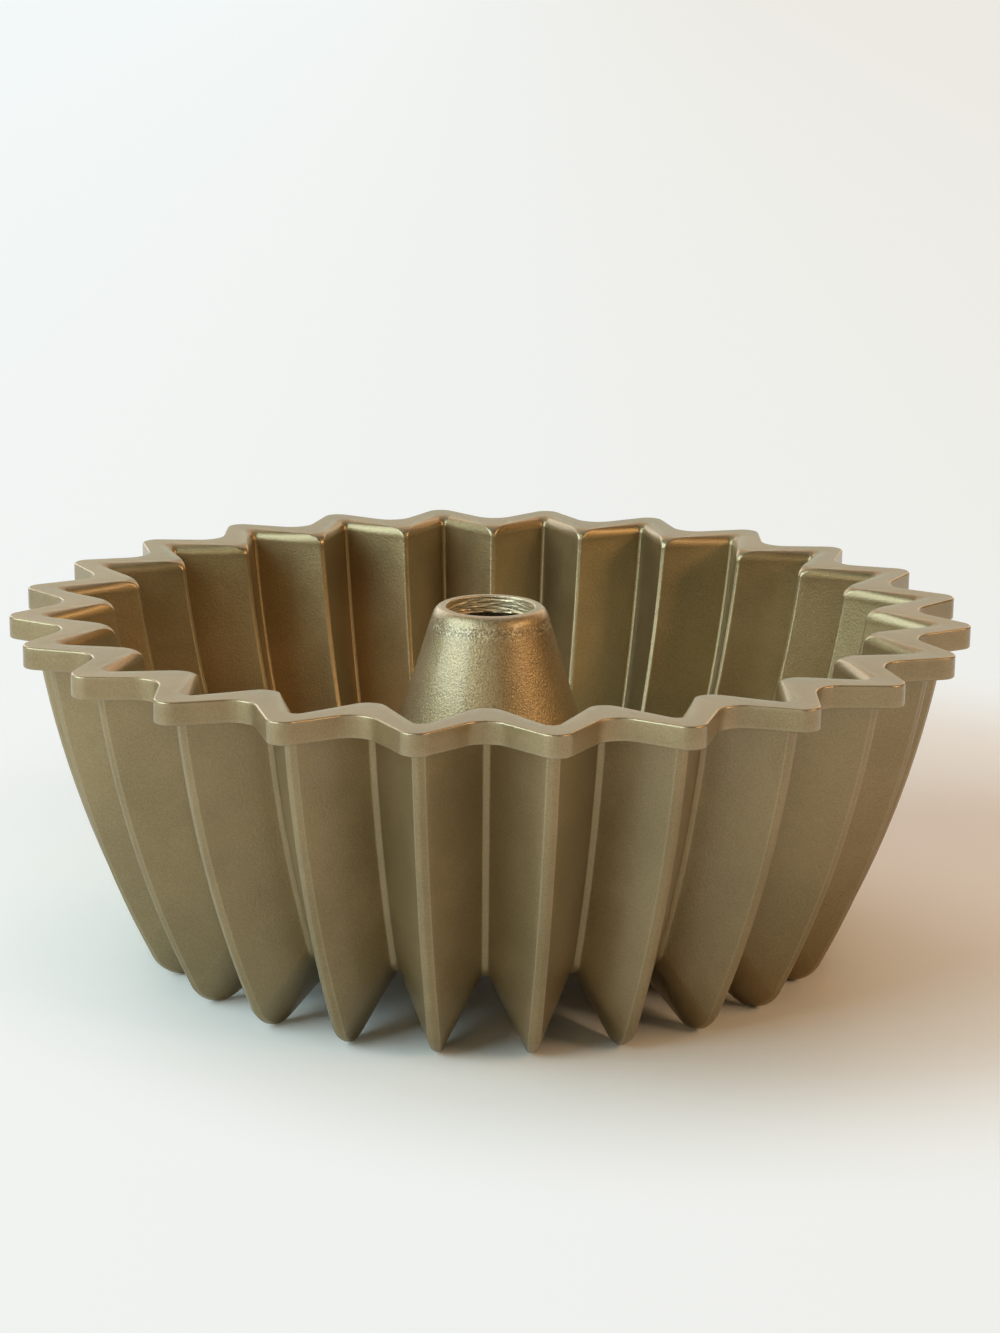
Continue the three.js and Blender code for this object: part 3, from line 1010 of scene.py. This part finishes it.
def floor_material(studio):
    """Pale floor that keeps the pan's shadow and fades to a plain backdrop far from it."""
    material, graph = new_material("pale_floor")
    place = graph.node("ShaderNodeTexCoord", output="Object")
    seen_far = place.distance(SHADOW_MIDDLE).ramp(*SHADOW_REACH)
    reflected_far = place.distance(PAN_MIDDLE).ramp(*REFLECTED_REACH)
    camera = graph.node("ShaderNodeLightPath", output="Is Camera Ray")
    glossy = graph.node("ShaderNodeLightPath", output="Is Glossy Ray")
    passing = graph.node("ShaderNodeLightPath", output="Is Transmission Ray")
    reflected = (glossy + passing).at_most(1.0)
    far = seen_far * camera + reflected_far * reflected
    tone = camera.blend(opaque(studio.bounce), opaque(studio.floor))
    floor = graph.principled({"Base Color": tone, "Roughness": FLOOR_ROUGHNESS})
    across = place.along("X").ramp(*BACKDROP_SPAN)
    tint = across.blend(opaque(studio.backdrop_left), opaque(studio.backdrop_right))
    backdrop = graph.node("ShaderNodeEmission", None, {"Color": tint, "Strength": 1.0})
    shader = graph.node("ShaderNodeMixShader", None, {0: far, 1: floor, 2: backdrop})
    shader.show()
    return material


def add_floor(context, studio):
    """Wide disc that the pan stands on."""
    mesh_builder = bmesh.new()
    bmesh.ops.create_circle(mesh_builder, cap_ends=True, segments=FLOOR_SIDES, radius=FLOOR_RADIUS)
    mesh = bpy.data.meshes.new("floor")
    mesh_builder.to_mesh(mesh)
    mesh_builder.free()
    mesh.materials.append(floor_material(studio))
    floor = bpy.data.objects.new("floor", mesh)
    context.scene.collection.objects.link(floor)


def add_lamp(context, lamp, power, tint):
    """Soft rectangular lamp that faces the pan."""
    light = bpy.data.lights.new(lamp.name, "AREA")
    light.shape = "RECTANGLE"
    light.size = lamp.width
    light.size_y = lamp.height
    light.energy = power
    light.color = tint
    azimuth = math.radians(lamp.azimuth)
    elevation = math.radians(lamp.elevation)
    level = math.cos(elevation)
    towards = Vector((math.sin(azimuth) * level, -math.cos(azimuth) * level, math.sin(elevation)))
    holder = bpy.data.objects.new(lamp.name, light)
    holder.visible_camera = False
    holder.location = towards * lamp.distance
    holder.rotation_euler = towards.to_track_quat("Z", "Y").to_euler()
    context.scene.collection.objects.link(holder)


def add_world(context, studio):
    """Faint even light from all around."""
    world = bpy.data.worlds.new("room")
    world.use_nodes = True
    world.node_tree.nodes.clear()
    graph = Wire(world.node_tree)
    glow = graph.node("ShaderNodeBackground", None, {"Color": opaque(studio.ambient), "Strength": 1.0})
    graph.node("ShaderNodeOutputWorld", None, {"Surface": glow})
    context.scene.world = world


def add_camera(context):
    """Camera at the photograph's viewing angle."""
    view = bpy.data.cameras.new("camera")
    view.lens = CAMERA_LENS
    holder = bpy.data.objects.new("camera", view)
    turn = rotation(-CAMERA_YAW, "Z")
    tilt = rotation(QUARTER_TURN - CAMERA_PITCH, "X")
    roll = rotation(CAMERA_ROLL, "Z")
    holder.matrix_world = Matrix.Translation(CAMERA_PLACE) @ turn @ tilt @ roll
    context.scene.collection.objects.link(holder)
    context.scene.camera = holder


class PAN_OT_studio(bpy.types.Operator):
    """Set up floor, light and camera"""

    bl_idname = "pan.studio"
    bl_label = "Studio"

    def execute(self, context):
        studio = context.scene.pan_studio
        context.scene.view_settings.view_transform = "Standard"
        add_floor(context, studio)
        for lamp in LAMPS:
            add_lamp(context, lamp, getattr(studio, f"{lamp.name}_power"), getattr(studio, lamp.name))
        add_world(context, studio)
        add_camera(context)
        return {"FINISHED"}


class PAN_PT_build(bpy.types.Panel):
    """Buttons, sizes and colours of the pan"""

    bl_label = "Fluted tube pan"
    bl_space_type = "VIEW_3D"
    bl_region_type = "UI"
    bl_category = "Pan"

    def draw(self, context):
        for operator in OPERATORS:
            self.layout.operator(operator.bl_idname)
        for name, group in GROUPS.items():
            box = self.layout.box()
            for field in group.__annotations__:
                box.prop(getattr(context.scene, name), field)


OPERATORS = (PAN_OT_studio, PAN_OT_rim, PAN_OT_flutes, PAN_OT_tube)
GROUPS = {"pan_sizes": PAN_PG_sizes, "pan_finish": PAN_PG_finish, "pan_studio": PAN_PG_studio}


def register():
    """Make the classes known to Blender."""
    for group in GROUPS.values():
        bpy.utils.register_class(group)
    for name, group in GROUPS.items():
        setattr(bpy.types.Scene, name, bpy.props.PointerProperty(type=group))
    for operator in OPERATORS:
        bpy.utils.register_class(operator)
    bpy.utils.register_class(PAN_PT_build)


def unregister():
    """Take the classes out again."""
    bpy.utils.unregister_class(PAN_PT_build)
    for operator in reversed(OPERATORS):
        bpy.utils.unregister_class(operator)
    for name, group in GROUPS.items():
        delattr(bpy.types.Scene, name)
        bpy.utils.unregister_class(group)


def main():
    """Build everything."""
    register()
    bpy.ops.pan.studio()
    bpy.ops.pan.rim()
    bpy.ops.pan.flutes()
    bpy.ops.pan.tube()


if __name__ == "__main__":
    main()
